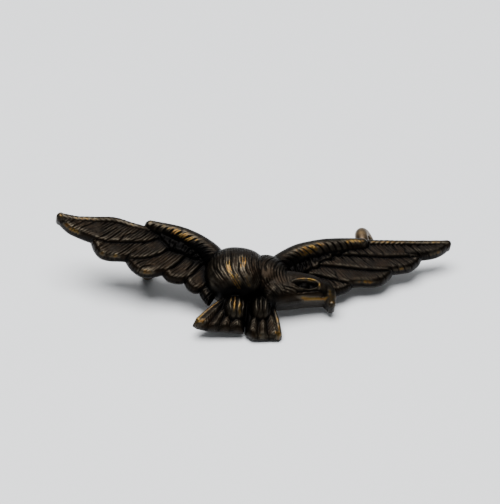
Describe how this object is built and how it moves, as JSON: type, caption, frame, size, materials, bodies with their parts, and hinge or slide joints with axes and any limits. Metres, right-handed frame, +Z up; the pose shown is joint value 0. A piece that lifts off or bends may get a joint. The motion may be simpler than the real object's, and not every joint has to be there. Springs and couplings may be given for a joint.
{
  "type": "cap badge",
  "caption": "Dark bronze eagle cap badge with spread wings and head turned aside, held on a cap by a wire lug behind each wing.",
  "frame": {"origin": "bottom centre of the bounding box: the surface that the badge rests on, face up", "axes": "+X along the span towards the viewer's right, where the head points; +Y away from the viewer, from the tail towards the leading edges; +Z up. The badge leans on its tail and lugs, so its face is tilted 18.6 degrees about X and 6.7 degrees about its own up axis."},
  "size_m": [0.0476, 0.0194, 0.0092],
  "materials": {
    "patinated_bronze": "dark brown-black bronze patina, satin, rubbed through to golden bronze on the high points",
    "lug_wire": "tarnished brown brass wire, satin, brighter where rubbed",
    "brazing": "dull yellow-brown brazing metal, slightly rough"
  },
  "bodies": {
    "root": {"eagle": "patinated_bronze", "left_lug": "lug_wire", "right_lug": "lug_wire", "left_lug_braze": "brazing", "right_lug_braze": "brazing"}
  },
  "joints": []
}
